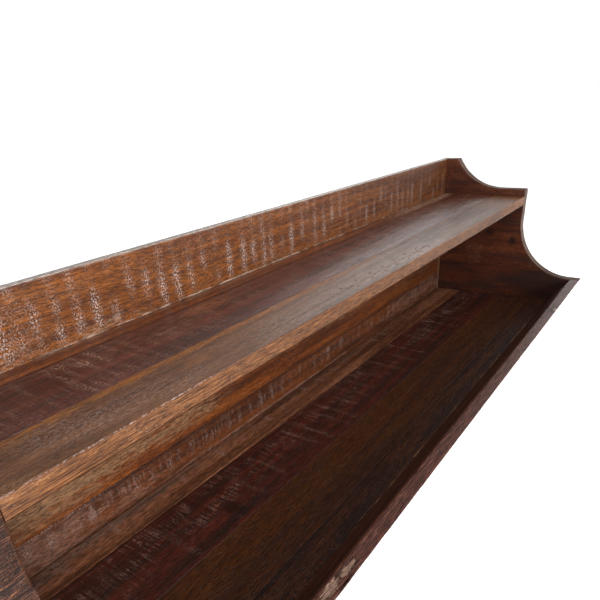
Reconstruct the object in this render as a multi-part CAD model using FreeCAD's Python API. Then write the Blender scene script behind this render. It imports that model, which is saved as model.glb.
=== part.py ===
"""A wall shelf of reclaimed hardwood boards, with an open upper shelf and a deeper tray below it.

Millimetres. X runs along the shelf, +Y points to the wall and +Z up. The origin is in the middle of
the flat underside. Depths are measured forward from the front face of the back boards.
"""
import FreeCAD, Part
import math
import os

from FreeCAD import Vector

# Overall
length = 1200.0
side_thickness = 22.0
back_thickness = 12.0
shelf_thickness = 18.0
front_board_thickness = 14.5

# Levels: the tray's floor, the upper shelf above it, the back above that and the tray's front board
tier_rise = 220.0
back_rise = 72.0
lip_rise = 56.0

# Depths
upper_shelf_depth = 176.0
tray_depth = 251.0
front_board_lean = 37.0

# The ends' outline: level beyond the tray's front, a hollow quarter circle up to the upper shelf's front,
# a low nose above that, a level stretch and a second hollow that rises to the back
side_lip_flat = 21.5
side_nose_rise = 14.0
side_nose_radius = 4.0
side_top_radius = 114.0
side_top_flat = 25.0

# Heights of the boards in the back. The middle one fills what they leave
back_bottom_board_height = 61.0
back_top_board_height = 125.0

# Heights of the boards in the ends. The upper one fills what they leave
side_bottom_board_height = 85.0
side_lower_board_height = 81.0
side_top_board_height = 70.0

# Widths of the boards in the upper shelf. The middle one fills what they leave
upper_rear_board_width = 25.0
upper_front_board_width = 64.0

# Widths of the boards in the tray's floor, some tapered. The brown one fills what they leave
tray_rear_board_left_width = 42.0
tray_rear_board_right_width = 55.0
tray_red_board_left_width = 93.0
tray_red_board_right_width = 90.0
tray_front_board_width = 35.0

# Arrises: the worn ones on free edges and the small ones along the joints
free_arris = 1.5
joint_arris = 0.4

# Dowels: diameter, length let into each of the two boards, and the play round and past them
shelf_dowel_diameter = 8.0
shelf_dowel_reach = 15.0
thin_dowel_diameter = 6.0
thin_dowel_reach = 13.0
dowel_play = 0.05
dowel_end_play = 1.0
wide_board = 70.0

# Countersunk screws through the back into the shelves
screw_diameter = 4.0
screw_length = 32.0
screw_head_diameter = 8.0
screw_sink = 0.5
screw_count = 5
screw_end_offset = 90.0
screw_play = 0.05

# Nails through the front board into the tray's floor
nail_diameter = 2.2
nail_length = 42.0
nail_head_diameter = 4.0
nail_head_thickness = 0.8
nail_sink = 0.6
nail_count = 6
nail_end_offset = 70.0
nail_play = 0.05

# Steel keyhole plates let into the back, and their screws
hanger_end_offset = 150.0
hanger_drop = 35.0
hanger_width = 20.0
hanger_height = 50.0
hanger_thickness = 2.0
hanger_play = 0.2
keyhole_diameter = 9.0
keyhole_slot_width = 4.6
keyhole_slot_rise = 12.0
keyhole_drop = 5.0
hanger_pocket_width = 12.0
hanger_pocket_height = 30.0
hanger_pocket_floor = 3.0
hanger_screw_spacing = 40.0
hanger_screw_diameter = 3.0
hanger_screw_length = 8.0
hanger_screw_head_diameter = 5.6

# Worked out from the above
lean_slope = math.tan(math.radians(front_board_lean))
tray_floor = shelf_thickness
lip_top = tray_floor + lip_rise
upper_floor = tray_floor + tier_rise
height = upper_floor + back_rise
front_board_level_cut = front_board_thickness / math.cos(math.radians(front_board_lean))
front_depth = tray_depth + lip_rise * lean_slope + front_board_level_cut
total_depth = back_thickness + front_depth
wall_y = total_depth / 2
inner_half = length / 2 - side_thickness
upper_shelf_middle = upper_floor - shelf_thickness / 2
tray_floor_middle = shelf_thickness / 2
side_nose = upper_floor + side_nose_rise
side_curve_radius = min(front_depth - upper_shelf_depth - side_lip_flat,
                        side_nose - side_nose_radius - lip_top)
back_joints = [back_bottom_board_height, height - back_top_board_height]
side_joints = [side_bottom_board_height, side_bottom_board_height + side_lower_board_height,
               height - side_top_board_height]
upper_joints = [upper_rear_board_width, upper_shelf_depth - upper_front_board_width]
tray_joints_left = [tray_rear_board_left_width,
                    tray_rear_board_left_width + tray_red_board_left_width,
                    tray_depth - tray_front_board_width]
tray_joints_right = [tray_rear_board_right_width,
                     tray_rear_board_right_width + tray_red_board_right_width,
                     tray_depth - tray_front_board_width]
hanger_pocket_depth = back_thickness - hanger_thickness - hanger_pocket_floor


def at_depth(depth):
    """The Y of a point that lies this far in front of the back boards."""
    return wall_y - back_thickness - depth


def board_inner_depth(z):
    """How far forward the front board's inner face is at a height."""
    return tray_depth + (z - tray_floor) * lean_slope


def box(x0, x1, y0, y1, z0, z1):
    return Part.makeBox(x1 - x0, y1 - y0, z1 - z0, Vector(x0, y0, z0))


def prism(points, direction):
    """A solid from a closed outline of points, pushed along a vector."""
    wire = Part.makePolygon(points + [points[0]])
    return Part.Face(wire).extrude(direction)


def rod(diameter, start, end):
    start, end = Vector(*start), Vector(*end)
    axis = end - start
    return Part.makeCylinder(diameter / 2, axis.Length, start, axis)


def edges_along_x(shape, where):
    """The edges that run along the shelf and whose middle passes a test on Y and Z."""
    found = []
    for edge in shape.Edges:
        a, b = edge.Vertexes[0].Point, edge.Vertexes[-1].Point
        across = math.hypot(b.y - a.y, b.z - a.z)
        if abs(b.x - a.x) > 10 * across and where((a.y + b.y) / 2, (a.z + b.z) / 2):
            found.append(edge)
    return found


def ease(shape, size, where):
    """A chamfer along the edges that a test picks."""
    picked = edges_along_x(shape, where)
    return shape.makeChamfer(size, picked) if picked else shape


def round_over(shape, size, where):
    """A rounded arris along the edges that a test picks."""
    picked = edges_along_x(shape, where)
    return shape.makeFillet(size, picked) if picked else shape


def cut_all(shape, tools):
    """A board with its holes and recesses, left alone by the ones that miss it."""
    touching = [tool for tool in tools if shape.BoundBox.intersect(tool.BoundBox)]
    return shape.cut(touching) if touching else shape


def spots_across(low, high):
    """Where dowels stand across a board: one in a narrow board, two in a wide one."""
    width = high - low
    if width < wide_board:
        return [low + width / 2]
    return [low + width / 4, high - width / 4]


def spots_along(count, end_offset):
    """Places spread evenly along the shelf."""
    first = -length / 2 + end_offset
    step = (length - 2 * end_offset) / (count - 1)
    return [first + step * i for i in range(count)]


def near(value, target):
    return abs(value - target) < 0.01


def side_outline():
    """The outline of an end, on the plane X = 0, as one wire of lines and arcs."""
    def p(depth, z):
        return Vector(0, at_depth(depth), z)

    radius = side_curve_radius
    bend = radius * (1 - math.sqrt(0.5))
    curve_foot = upper_shelf_depth + radius
    nose_corner = side_nose_radius * (1 - math.sqrt(0.5))
    nose_edge = upper_shelf_depth - side_nose_radius

    rise = min(height - side_nose, side_top_radius)
    sweep = math.acos(1 - rise / side_top_radius)
    hollow_foot = side_top_flat + side_top_radius * math.sin(sweep)
    half_run = side_top_radius * math.sin(sweep / 2)
    half_rise = side_top_radius * (1 - math.cos(sweep / 2))

    front_foot = front_depth - lip_top * lean_slope
    corners = [p(-back_thickness, height), p(-back_thickness, 0), p(front_foot, 0),
               p(front_depth, lip_top), p(curve_foot, lip_top)]
    curve_top = p(upper_shelf_depth, lip_top + radius)
    nose_foot = p(upper_shelf_depth, side_nose - side_nose_radius)
    edges = [Part.LineSegment(a, b) for a, b in zip(corners, corners[1:])]
    edges += [
        Part.Arc(corners[-1], p(upper_shelf_depth + bend, lip_top + bend), curve_top),
        Part.LineSegment(curve_top, nose_foot),
        Part.Arc(nose_foot, p(upper_shelf_depth - nose_corner, side_nose - nose_corner),
                 p(nose_edge, side_nose)),
        Part.LineSegment(p(nose_edge, side_nose), p(hollow_foot, side_nose)),
        Part.Arc(p(hollow_foot, side_nose), p(hollow_foot - half_run, side_nose + half_rise),
                 p(side_top_flat, side_nose + rise)),
    ]
    if side_nose + rise < height:
        edges.append(Part.LineSegment(p(side_top_flat, side_nose + rise), p(side_top_flat, height)))
    edges.append(Part.LineSegment(p(side_top_flat, height), corners[0]))
    return Part.Wire([edge.toShape() for edge in edges])


def side_boards(side):
    """The boards of one end, from the lowest up. Side is -1 for the left end and 1 for the right."""
    outer = side * length / 2
    inner = side * inner_half
    blank = Part.Face(side_outline()).extrude(Vector(side_thickness, 0, 0))
    blank.translate(Vector(min(outer, inner), 0, 0))
    levels = [0.0] + side_joints + [height]
    boards = []
    for low, high in zip(levels, levels[1:]):
        slab = box(-length, length, -total_depth, total_depth, low, high)
        boards.append(blank.common(slab))
    return boards


def back_boards():
    """The boards of the back, from the lowest up."""
    levels = [0.0] + back_joints + [height]
    boards = []
    for low, high in zip(levels, levels[1:]):
        board = box(-inner_half, inner_half, at_depth(0), wall_y, low, high)
        if near(high, height):
            board = round_over(board, free_arris, lambda y, z, top=high: near(z, top))
        else:
            board = ease(board, joint_arris, lambda y, z, top=high: near(z, top) and near(y, at_depth(0)))
        boards.append(board)
    return boards


def floor_board(left, right, bottom, thickness):
    """A flat board between two depths at its left end and two at its right end."""
    corners = [Vector(-inner_half, at_depth(left[0]), bottom),
               Vector(-inner_half, at_depth(left[1]), bottom),
               Vector(inner_half, at_depth(right[1]), bottom),
               Vector(inner_half, at_depth(right[0]), bottom)]
    return prism(corners, Vector(0, 0, thickness))


def upper_shelf_boards():
    """The boards of the upper shelf, from the back one forward."""
    depths = [0.0] + upper_joints + [upper_shelf_depth]
    bottom = upper_floor - shelf_thickness
    boards = []
    for back, front in zip(depths, depths[1:]):
        board = floor_board((back, front), (back, front), bottom, shelf_thickness)
        if near(front, upper_shelf_depth):
            board = round_over(board, free_arris, lambda y, z: near(y, at_depth(upper_shelf_depth)))
        else:
            edge = at_depth(front)
            board = ease(board, joint_arris,
                         lambda y, z, edge=edge: near(y, edge) and near(z, upper_floor))
        boards.append(board)
    return boards


def tray_floor_boards():
    """The boards of the tray's floor, from the back one forward. The last has a bevelled front."""
    left = [0.0] + tray_joints_left
    right = [0.0] + tray_joints_right
    boards = []
    for i in range(len(left) - 1):
        board = floor_board((left[i], left[i + 1]), (right[i], right[i + 1]), 0, shelf_thickness)
        front_y = at_depth((left[i + 1] + right[i + 1]) / 2)
        board = ease(board, joint_arris,
                     lambda y, z, edge=front_y: near(y, edge) and near(z, tray_floor))
        boards.append(board)
    bevel = [Vector(0, at_depth(left[-1]), 0), Vector(0, at_depth(board_inner_depth(0)), 0),
             Vector(0, at_depth(tray_depth), tray_floor), Vector(0, at_depth(left[-1]), tray_floor)]
    front = prism(bevel, Vector(2 * inner_half, 0, 0))
    front.translate(Vector(-inner_half, 0, 0))
    boards.append(front)
    return boards


def front_board():
    """The leaning board, cut level at its top and bottom."""
    across = ((0, 0), (lip_top, 0), (lip_top, front_board_level_cut), (0, front_board_level_cut))
    outline = [Vector(-inner_half, at_depth(board_inner_depth(z) + out), z) for z, out in across]
    board = prism(outline, Vector(2 * inner_half, 0, 0))
    return round_over(board, free_arris, lambda y, z: near(z, lip_top))


def end_dowels(side, places, diameter, reach):
    """Dowels across the joint between one end and what it carries, and the holes they stand in."""
    dowels, holes = [], []
    joint = side * inner_half
    for depth, z in places:
        y = at_depth(depth)
        hole_reach = reach + dowel_end_play
        hole_diameter = diameter + 2 * dowel_play
        dowels.append(rod(diameter, (joint - reach, y, z), (joint + reach, y, z)))
        holes.append(rod(hole_diameter, (joint - hole_reach, y, z), (joint + hole_reach, y, z)))
    return dowels, holes


def shelf_places(depths, z):
    return [(spot, z) for low, high in zip(depths, depths[1:]) for spot in spots_across(low, high)]


def back_places():
    levels = [0.0] + back_joints + [height]
    middle = -back_thickness / 2
    return [(middle, spot) for low, high in zip(levels, levels[1:]) for spot in spots_across(low, high)]


def front_board_places():
    places = []
    for z in (lip_top / 3, 2 * lip_top / 3):
        places.append((board_inner_depth(z) + front_board_level_cut / 2, z))
    return places


def countersunk_screw(diameter, head_diameter, head_y, tip_y, x, z):
    """A screw that points from the wall forward, with a cross slot in its head."""
    cone = (head_diameter - diameter) / 2
    tip = diameter
    recess = head_diameter / 2
    head = Part.makeCone(head_diameter / 2, diameter / 2, cone, Vector(x, head_y, z), Vector(0, -1, 0))
    shank = rod(diameter, (x, head_y, z), (x, tip_y + tip, z))
    point = Part.makeCone(diameter / 2, diameter / 8, tip, Vector(x, tip_y + tip, z), Vector(0, -1, 0))
    screw = head.fuse([shank, point])
    slot_width = diameter / 4
    slot_depth = cone / 2
    slots = [box(x - across / 2, x + across / 2, head_y - slot_depth, head_y, z - up / 2, z + up / 2)
             for across, up in ((recess, slot_width), (slot_width, recess))]
    return screw.cut(slots).removeSplitter()


def countersunk_hole(diameter, head_diameter, face_y, sink, tip_y, x, z, play):
    """Room for such a screw, with its head sunk below a face."""
    cone = (head_diameter - diameter) / 2
    wide = head_diameter / 2 + play
    narrow = diameter / 2 + play
    mouth = Part.makeCylinder(wide, sink, Vector(x, face_y, z), Vector(0, -1, 0))
    taper = Part.makeCone(wide, narrow, cone, Vector(x, face_y - sink, z), Vector(0, -1, 0))
    bore = rod(2 * narrow, (x, face_y, z), (x, tip_y - play, z))
    return mouth.fuse([taper, bore])


def shelf_screws(z):
    """The screws through the back into one shelf, and their holes."""
    screws, holes = [], []
    head_y = wall_y - screw_sink
    tip_y = head_y - screw_length
    for x in spots_along(screw_count, screw_end_offset):
        screws.append(countersunk_screw(screw_diameter, screw_head_diameter, head_y, tip_y, x, z))
        holes.append(countersunk_hole(screw_diameter, screw_head_diameter, wall_y, screw_sink, tip_y,
                                      x, z, screw_play))
    return screws, holes


def nail(x, z, play, head_room):
    """A nail driven level through the front board, or its hole if given play and room at the head."""
    face = at_depth(board_inner_depth(z) + front_board_level_cut)
    head_y = face + nail_head_diameter / 2 * lean_slope + nail_sink
    shank = rod(nail_diameter + 2 * play, (x, head_y, z), (x, head_y + nail_length + play, z))
    head_front, head_back = head_y - head_room, head_y + nail_head_thickness
    head = rod(nail_head_diameter + 2 * play, (x, head_front, z), (x, head_back, z))
    return shank.fuse(head).removeSplitter()


def front_nails():
    nails, holes = [], []
    for x in spots_along(nail_count, nail_end_offset):
        nails.append(nail(x, tray_floor_middle, 0, 0))
        holes.append(nail(x, tray_floor_middle, nail_play, 10 * nail_sink))
    return nails, holes


def keyhole(x, z, y0, y1):
    """The hole that a wall screw's head passes, with the slot above it that the screw slides up."""
    entry = z - keyhole_drop
    disc = rod(keyhole_diameter, (x, y0, entry), (x, y1, entry))
    top = entry + keyhole_slot_rise
    half = keyhole_slot_width / 2
    slot = box(x - half, x + half, min(y0, y1), max(y0, y1), entry, top)
    end = rod(keyhole_slot_width, (x, y0, top), (x, y1, top))
    return disc.fuse([slot, end]).removeSplitter()


def hanger(x):
    """One keyhole plate, its two screws and the room they need in the back."""
    z = height - hanger_drop
    plate_y = wall_y - hanger_thickness
    half_width, half_height = hanger_width / 2, hanger_height / 2
    plate = box(x - half_width, x + half_width, plate_y, wall_y, z - half_height, z + half_height)
    upright = [edge for edge in plate.Edges if near(edge.Vertexes[0].X, edge.Vertexes[-1].X)
               and near(edge.Vertexes[0].Z, edge.Vertexes[-1].Z)]
    plate = plate.makeFillet(half_width / 4, upright)
    screws, holes = [], []
    tip_y = wall_y - hanger_screw_length
    sizes = hanger_screw_diameter, hanger_screw_head_diameter
    for screw_z in (z - hanger_screw_spacing / 2, z + hanger_screw_spacing / 2):
        screws.append(countersunk_screw(*sizes, wall_y, tip_y, x, screw_z))
        holes.append(countersunk_hole(*sizes, wall_y, screw_play, tip_y, x, screw_z, screw_play))
    plate = plate.cut([keyhole(x, z, plate_y, wall_y)] + holes)
    bed_width, bed_height = half_width + hanger_play, half_height + hanger_play
    bed = box(x - bed_width, x + bed_width, plate_y, wall_y, z - bed_height, z + bed_height)
    pocket_half, pocket_rise = hanger_pocket_width / 2, hanger_pocket_height / 2
    pocket = box(x - pocket_half, x + pocket_half, plate_y - hanger_pocket_depth, wall_y,
                 z - pocket_rise, z + pocket_rise)
    return plate, screws, [bed, pocket] + holes


def build():
    """Every piece by the name of its node. A piece may be several separate solids."""
    ends = {"left": -1, "right": 1}
    nodes = {}
    room = []

    upper_depths = [0.0] + upper_joints + [upper_shelf_depth]
    tray_joints = {"left": tray_joints_left, "right": tray_joints_right}
    for name, side in ends.items():
        tray_depths = [0.0] + tray_joints[name] + [board_inner_depth(0)]
        thick = shelf_dowel_diameter, shelf_dowel_reach
        thin = thin_dowel_diameter, thin_dowel_reach
        groups = {
            "upper_shelf": (shelf_places(upper_depths, upper_shelf_middle), thick),
            "tray_floor": (shelf_places(tray_depths, tray_floor_middle), thick),
            "back": (back_places(), thin),
            "front_board": (front_board_places(), thin),
        }
        for group, (places, sizes) in groups.items():
            dowels, holes = end_dowels(side, places, *sizes)
            nodes[f"{name}_{group}_dowels"] = dowels
            room += holes

    for name, z in (("upper_shelf", upper_shelf_middle), ("tray_floor", tray_floor_middle)):
        screws, holes = shelf_screws(z)
        nodes[f"{name}_screws"] = screws
        room += holes

    nails, holes = front_nails()
    nodes["front_board_nails"] = nails
    room += holes

    for name, side in ends.items():
        plate, screws, holes = hanger(side * (length / 2 - hanger_end_offset))
        nodes[f"{name}_hanger_plate"] = [plate]
        nodes[f"{name}_hanger_screws"] = screws
        room += holes

    boards = {}
    for name, side in ends.items():
        for level, board in zip(("bottom", "lower", "upper", "top"), side_boards(side)):
            boards[f"{name}_side_{level}_board"] = board
    for level, board in zip(("bottom", "middle", "top"), back_boards()):
        boards[f"back_{level}_board"] = board
    for place, board in zip(("rear", "middle", "front"), upper_shelf_boards()):
        boards[f"upper_shelf_{place}_board"] = board
    for place, board in zip(("rear", "red", "brown", "front"), tray_floor_boards()):
        boards[f"tray_floor_{place}_board"] = board
    boards["front_board"] = front_board()

    for name, board in boards.items():
        nodes[name] = [cut_all(board, room)]
    return nodes


def main():
    os.makedirs("parts", exist_ok=True)
    for name, solids in build().items():
        single = [solid for shape in solids for solid in shape.Solids]
        shape = single[0] if len(single) == 1 else Part.makeCompound(single)
        if not shape.isValid():
            print("not valid:", name)
        shape.exportStep(f"parts/{name}.step")
        print(name, len(single), "solids,", round(shape.Volume / 1000, 2), "cm3")


main()
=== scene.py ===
"""The looks of a wall shelf of reclaimed, varnished hardwood boards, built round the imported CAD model.

Lengths are in millimetres in the tables and turned to metres where a mesh or a light is made. X runs along
the shelf, +Y to the wall and +Z up. A depth is measured forward from the front face of the back boards, and
a place along a board from the inner face of the left end.
"""

import math

import bmesh
import bpy
from mathutils import Matrix, Vector, noise


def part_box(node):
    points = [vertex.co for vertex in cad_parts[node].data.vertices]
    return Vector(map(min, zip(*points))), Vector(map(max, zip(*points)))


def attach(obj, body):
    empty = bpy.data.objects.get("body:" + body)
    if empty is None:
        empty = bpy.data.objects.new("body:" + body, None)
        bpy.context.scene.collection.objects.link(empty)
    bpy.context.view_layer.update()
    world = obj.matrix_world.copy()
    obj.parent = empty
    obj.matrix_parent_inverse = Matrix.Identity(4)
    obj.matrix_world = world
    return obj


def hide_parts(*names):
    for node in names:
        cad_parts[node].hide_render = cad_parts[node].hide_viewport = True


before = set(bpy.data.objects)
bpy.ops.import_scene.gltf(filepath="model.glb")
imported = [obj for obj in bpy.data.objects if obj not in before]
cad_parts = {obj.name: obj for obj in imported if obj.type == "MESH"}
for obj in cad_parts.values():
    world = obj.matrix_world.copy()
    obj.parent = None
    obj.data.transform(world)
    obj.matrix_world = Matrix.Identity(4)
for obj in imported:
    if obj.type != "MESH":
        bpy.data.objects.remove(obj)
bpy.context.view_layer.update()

MM = 0.001

# Sizes of the CAD model that the shapes below are built from
LEAN = math.radians(37.0)
LEAN_SLOPE = math.tan(LEAN)
LEVEL_CUT = 14.5 / math.cos(LEAN)  # the leaning board's thickness, measured level
TRAY_DEPTH = 251.0
LIP_TOP = 74.0
SHELF_TOP = 238.0
THICKNESS = 18.0
FLOOR_TOP = THICKNESS
TRAY_JOINTS_LEFT = (0.0, 42.0, 135.0, 216.0)
TRAY_JOINTS_RIGHT = (0.0, 55.0, 145.0, 216.0)
UPPER_DEPTH = 176.0
FRONT_DEPTH = TRAY_DEPTH + (LIP_TOP - FLOOR_TOP) * LEAN_SLOPE + LEVEL_CUT
NOSE_TOP = SHELF_TOP + 14.0
NOSE_RADIUS = 4.0
LIP_FLAT = 21.5
CURVE_RADIUS = FRONT_DEPTH - UPPER_DEPTH - LIP_FLAT
TOP_RADIUS = 114.0
TOP_FLAT = 25.0
SIDE_JOINTS = (0.0, 85.0, 166.0, 240.0, 310.0)
HEIGHT = 310.0

# The dressed meshes. Points stand NET apart, on the ends END_NET. REACH and END_REACH say how far rubbing
# goes from an open corner, SEAM how far dark varnish goes from a joint. An edge longer than LONG runs along
# the shelf. One that turns by more than CORNER is bevelled on the ends, and one that turns by more than SHARP
# isn't shaded smooth; both are in radians.
NET = 3.0
END_NET = 4.0
JOINT_ARRIS = 0.25
END_JOINT_ARRIS = 0.35
END_ARRIS = 1.1
REACH = 2.2
END_REACH = 3.0
SEAM = 0.6
LONG = 500.0
CORNER = 0.6
SHARP = math.radians(32)

# Marks across a board on the side that the wall or the floor hides are given with HIDDEN added
HIDDEN = 1000.0
MARK_KINDS = ("wear", "saw_and_highlights", "rows", "film_and_sheen", "stain_and_shade", "edge")


def node_box(node):
    """A node's lowest and highest corners in millimetres."""
    low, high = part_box(node)
    return low / MM, high / MM


BACK_FACE = node_box("back_top_board")[0].y
WALL_Y = node_box("back_top_board")[1].y
INNER_X = node_box("back_top_board")[1].x
OUTER_X = node_box("right_side_top_board")[1].x
LENGTH = 2 * INNER_X


def at_depth(depth):
    return BACK_FACE - depth


def lip_inner_depth(z):
    """How far forward the inner face of the leaning front board is at a height."""
    return TRAY_DEPTH + (z - FLOOR_TOP) * LEAN_SLOPE


# Materials

def linear(hex_colour):
    """A colour written as sRGB hex, as the linear values that Blender works in."""
    channels = [int(hex_colour[i:i + 2], 16) / 255 for i in (0, 2, 4)]
    return tuple(c / 12.92 if c <= 0.04045 else ((c + 0.055) / 1.055) ** 2.4 for c in channels) + (1.0,)


def add(tree, kind, inputs=(), out=0, ramp=None, **settings):
    """Adds a node with its settings, values and links, and gives back one of its outputs."""
    made = tree.nodes.new(kind)
    for name, value in settings.items():
        setattr(made, name, value)
    for key, value in dict(inputs).items():
        if isinstance(value, bpy.types.NodeSocket):
            tree.links.new(value, made.inputs[key])
        else:
            made.inputs[key].default_value = value
    if ramp:
        elements = made.color_ramp.elements
        while len(elements) < len(ramp):
            elements.new(0.5)
        for element, (position, colour) in zip(elements, ramp):
            element.position = position
            element.color = colour
    return made.outputs[out] if len(made.outputs) else made


def new_material(name):
    material = bpy.data.materials.new(name)
    material.use_nodes = True
    material.node_tree.nodes.clear()
    return material, material.node_tree


def drawn_out(tree, point, along, across, low, high, detail=2.0, roughness=0.55):
    """Marks of a given length along the grain and width across it, 0 where they are weak, 1 where strong."""
    scaled = add(tree, "ShaderNodeVectorMath", {0: point, 1: (1 / along, 1 / across, 1 / across)},
                 operation="MULTIPLY")
    cloud = add(tree, "ShaderNodeTexNoise", {"Vector": scaled, "Scale": 1.0, "Detail": detail,
                                             "Roughness": roughness})
    return add(tree, "ShaderNodeMapRange", {0: cloud, 1: low, 2: high}, interpolation_type="SMOOTHSTEP")


def laid_over(tree, wood, colour, *amounts, how="MIX"):
    """The wood with a colour laid over it, as strongly as all the amounts together allow."""
    share = amounts[0]
    for amount in amounts[1:]:
        share = add(tree, "ShaderNodeMath", {0: share, 1: amount}, operation="MULTIPLY")
    return add(tree, "ShaderNodeMix", {0: share, 6: wood, 7: linear(colour)}, out=2, data_type="RGBA",
               blend_type=how)


def varnished_wood(name, dark, mid, light, seed, grain="X", figure=(260, 14), streaks=0.5, fibre=0.3,
                   pores=0.55, flecks=0.15, fleck_colour="a98c78", fleck_size=(3.2, 1.25), saw_and_highlights="b9a29d",
                   saw_size=(3.0, 1.5), film_and_sheen="86797a", stain_and_shade="1c0d09", worn_and_sheen="96602f",
                   edge_tones=("241210", "452a24", "634032", "a87c5e"), edge_lines=(6.0, 1.0), edge_dull=0.0,
                   coarse=1.0, roughness=0.5, gloss=0.45):
    """Clear satin varnish over old sawn hardwood, such as teak or sheesham from old buildings.

    The eye gets reddish brown tones in long streaks, fine fibre and dark pores along the grain, and pale
    flecks in rows where the saw tore the fibre; where the saw colour is whitish they are partly painted
    glints.
    The varnish gives a soft sheen that the relief breaks up. The pores and fibres of the real wood are half
    as wide; they are drawn wider, or they wouldn't show. The mesh's attributes say where the saw, an old
    film, a stain and rubbing have left their marks, and where the same colours paint highlights, sheen and
    shade.
    Lengths and widths of marks are in millimetres.
    """
    material, tree = new_material(name)
    place = add(tree, "ShaderNodeTexCoord", out="Object")
    turn = (0, 0, math.radians(90)) if grain == "Y" else (0, 0, 0)
    point = add(tree, "ShaderNodeMapping", {"Vector": place, "Rotation": turn, "Scale": (1000, 1000, 1000),
                                            "Location": (seed * 731, seed * 97, seed * 53)})
    marks = {kind: add(tree, "ShaderNodeAttribute", attribute_name=kind, out="Fac")
             for kind in MARK_KINDS}

    # The grain wanders by a few millimetres
    drift = add(tree, "ShaderNodeVectorMath", {0: point, 1: (1 / 170, 1 / 45, 1 / 45)}, operation="MULTIPLY")
    drift = add(tree, "ShaderNodeTexNoise", {"Vector": drift, "Scale": 1.0, "Detail": 1.0}, out="Color")
    drift = add(tree, "ShaderNodeVectorMath", {0: drift, 1: (0.5, 0.5, 0.5)}, operation="SUBTRACT")
    wavy = add(tree, "ShaderNodeVectorMath", {0: drift, 1: (0, 9, 9), 2: point}, operation="MULTIPLY_ADD")

    tones = drawn_out(tree, wavy, *figure, 0.30, 0.70, detail=4.0, roughness=0.6)
    wood = add(tree, "ShaderNodeValToRGB", {"Fac": tones},
               ramp=[(0.1, linear(dark)), (0.5, linear(mid)), (0.9, linear(light))])
    dark_lines = drawn_out(tree, wavy, 80, 1.9, 0.50, 0.36, detail=3.0, roughness=0.65)
    wood = laid_over(tree, wood, dark, dark_lines, streaks, how="MULTIPLY")
    pale_lines = drawn_out(tree, wavy, 60, 2.4, 0.56, 0.70, detail=3.0, roughness=0.65)
    wood = laid_over(tree, wood, light, pale_lines, streaks * 0.6)

    # On the narrow faces the saw left fine lines, and the varnish has soaked in unevenly. Pale edge tones,
    # as on the upper back's top, are a painted reflection
    length, width = (MM * size for size in edge_lines)
    cross = add(tree, "ShaderNodeVectorMath", {0: place, 1: (1 / length, 1 / width, 1 / width)},
                operation="MULTIPLY")
    cross = add(tree, "ShaderNodeTexNoise", {"Vector": cross, "Scale": 1.0, "Detail": 1.5, "Roughness": 0.5})
    ends = add(tree, "ShaderNodeValToRGB", {"Fac": cross},
               ramp=[(level, linear(tone)) for level, tone in zip((0.34, 0.46, 0.58, 0.70), edge_tones)])
    wood = add(tree, "ShaderNodeMix", {0: marks["edge"], 6: wood, 7: ends}, out=2, data_type="RGBA")

    # The film mark holds old films and painted sheen. A strong one is solid, a weak one is broken up into
    # cloudy patches
    cloud = drawn_out(tree, point, 26, 4, 0.32, 0.62, detail=4.0, roughness=0.65)
    bare = add(tree, "ShaderNodeMath", {0: cloud, 1: 1.0}, operation="SUBTRACT")
    remains = add(tree, "ShaderNodeMath", {0: marks["film_and_sheen"], 1: 1.7, 2: bare}, operation="MULTIPLY_ADD",
                  use_clamp=True)
    wood = laid_over(tree, wood, film_and_sheen, remains)

    # Fibres along the grain, and the dark slits of open pores
    threads = drawn_out(tree, point, 9 * coarse, 1.25 * coarse, 0.38, 0.62, roughness=0.6)
    shade = add(tree, "ShaderNodeMapRange", {0: threads, 3: 1 - fibre, 4: 1 + fibre})
    wood = add(tree, "ShaderNodeVectorMath", {0: wood, 1: shade}, operation="MULTIPLY")
    holes = drawn_out(tree, point, 6 * coarse, 1.0 * coarse, 0.55, 0.62, detail=1.0)
    wood = laid_over(tree, wood, "140a07", holes, pores)

    # Torn flecks gather in patches. Faint rows are bars across the grain, broken into dashes
    patches = drawn_out(tree, point, 60, 18, 0.35, 0.65)
    torn = drawn_out(tree, point, *fleck_size, 0.58, 0.64)
    wood = laid_over(tree, wood, fleck_colour, torn, patches, flecks)
    bars = drawn_out(tree, point, 2.3, 34, 0.50, 0.60, detail=1.0)
    dashes = drawn_out(tree, point, 3.0, 2.6, 0.40, 0.55)
    wood = laid_over(tree, wood, saw_and_highlights, marks["rows"], bars, dashes, patches)

    # Deep rows of the saw are made of pale crumbs, which also paint highlights where marked. Stains, painted
    # shade and rubbed places lie over all; the rubbed colour paints a sheen on the upper back's top arrises
    crumbs = drawn_out(tree, point, *saw_size, 0.50, 0.58, roughness=0.65)
    wood = laid_over(tree, wood, saw_and_highlights, marks["saw_and_highlights"], crumbs)
    wood = laid_over(tree, wood, stain_and_shade, marks["stain_and_shade"])
    rubbing = drawn_out(tree, point, 25, 3, 0.34, 0.58, detail=3.0)
    wood = laid_over(tree, wood, worn_and_sheen, marks["wear"], rubbing, 0.6)
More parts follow.
